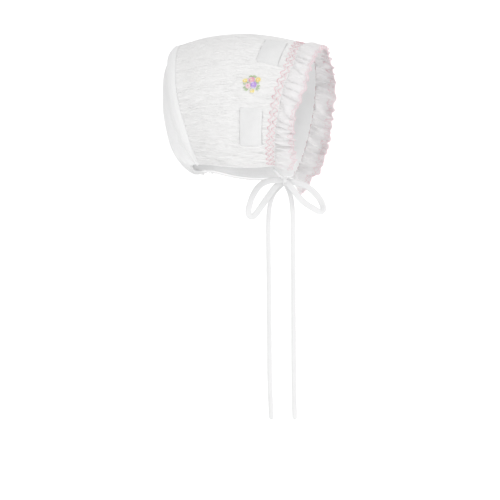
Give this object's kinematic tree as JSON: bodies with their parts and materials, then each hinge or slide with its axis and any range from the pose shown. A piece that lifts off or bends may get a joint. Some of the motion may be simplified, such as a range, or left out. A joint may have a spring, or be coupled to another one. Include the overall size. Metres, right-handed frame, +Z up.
{
  "type": "baby bonnet",
  "caption": "Soft cotton baby bonnet with a ruffled face edge, smocked seam, ribbon insets, embroidered rosebuds and narrow ties knotted in a bow.",
  "frame": {"origin": "inner apex of the crown, where the top of the head meets the lining", "axes": "+Z up when worn, -Y out through the face opening, +X towards the wearer's left"},
  "size_m": [0.1317, 0.1712, 0.3903],
  "materials": {
    "crinkle_cotton": "matte",
    "smooth_cotton": "matte",
    "ruffle_cotton": "matte",
    "satin_ribbon": "satin",
    "tie_tape": "satin"
  },
  "bodies": {
    "root": {"crown_body": "crinkle_cotton", "back_panel": "smooth_cotton", "lining": "smooth_cotton", "face_ruffle": "ruffle_cotton", "ribbon_right_upper": "satin_ribbon", "ribbon_right_lower": "satin_ribbon", "ribbon_left_upper": "satin_ribbon", "ribbon_left_lower": "satin_ribbon", "bow_knot": "tie_tape", "tie_right_lead": "tie_tape", "tie_left_lead": "tie_tape", "bow_loop_right": "tie_tape", "bow_loop_left": "tie_tape", "tie_right_tail": "tie_tape", "tie_left_tail": "tie_tape"}
  },
  "joints": []
}
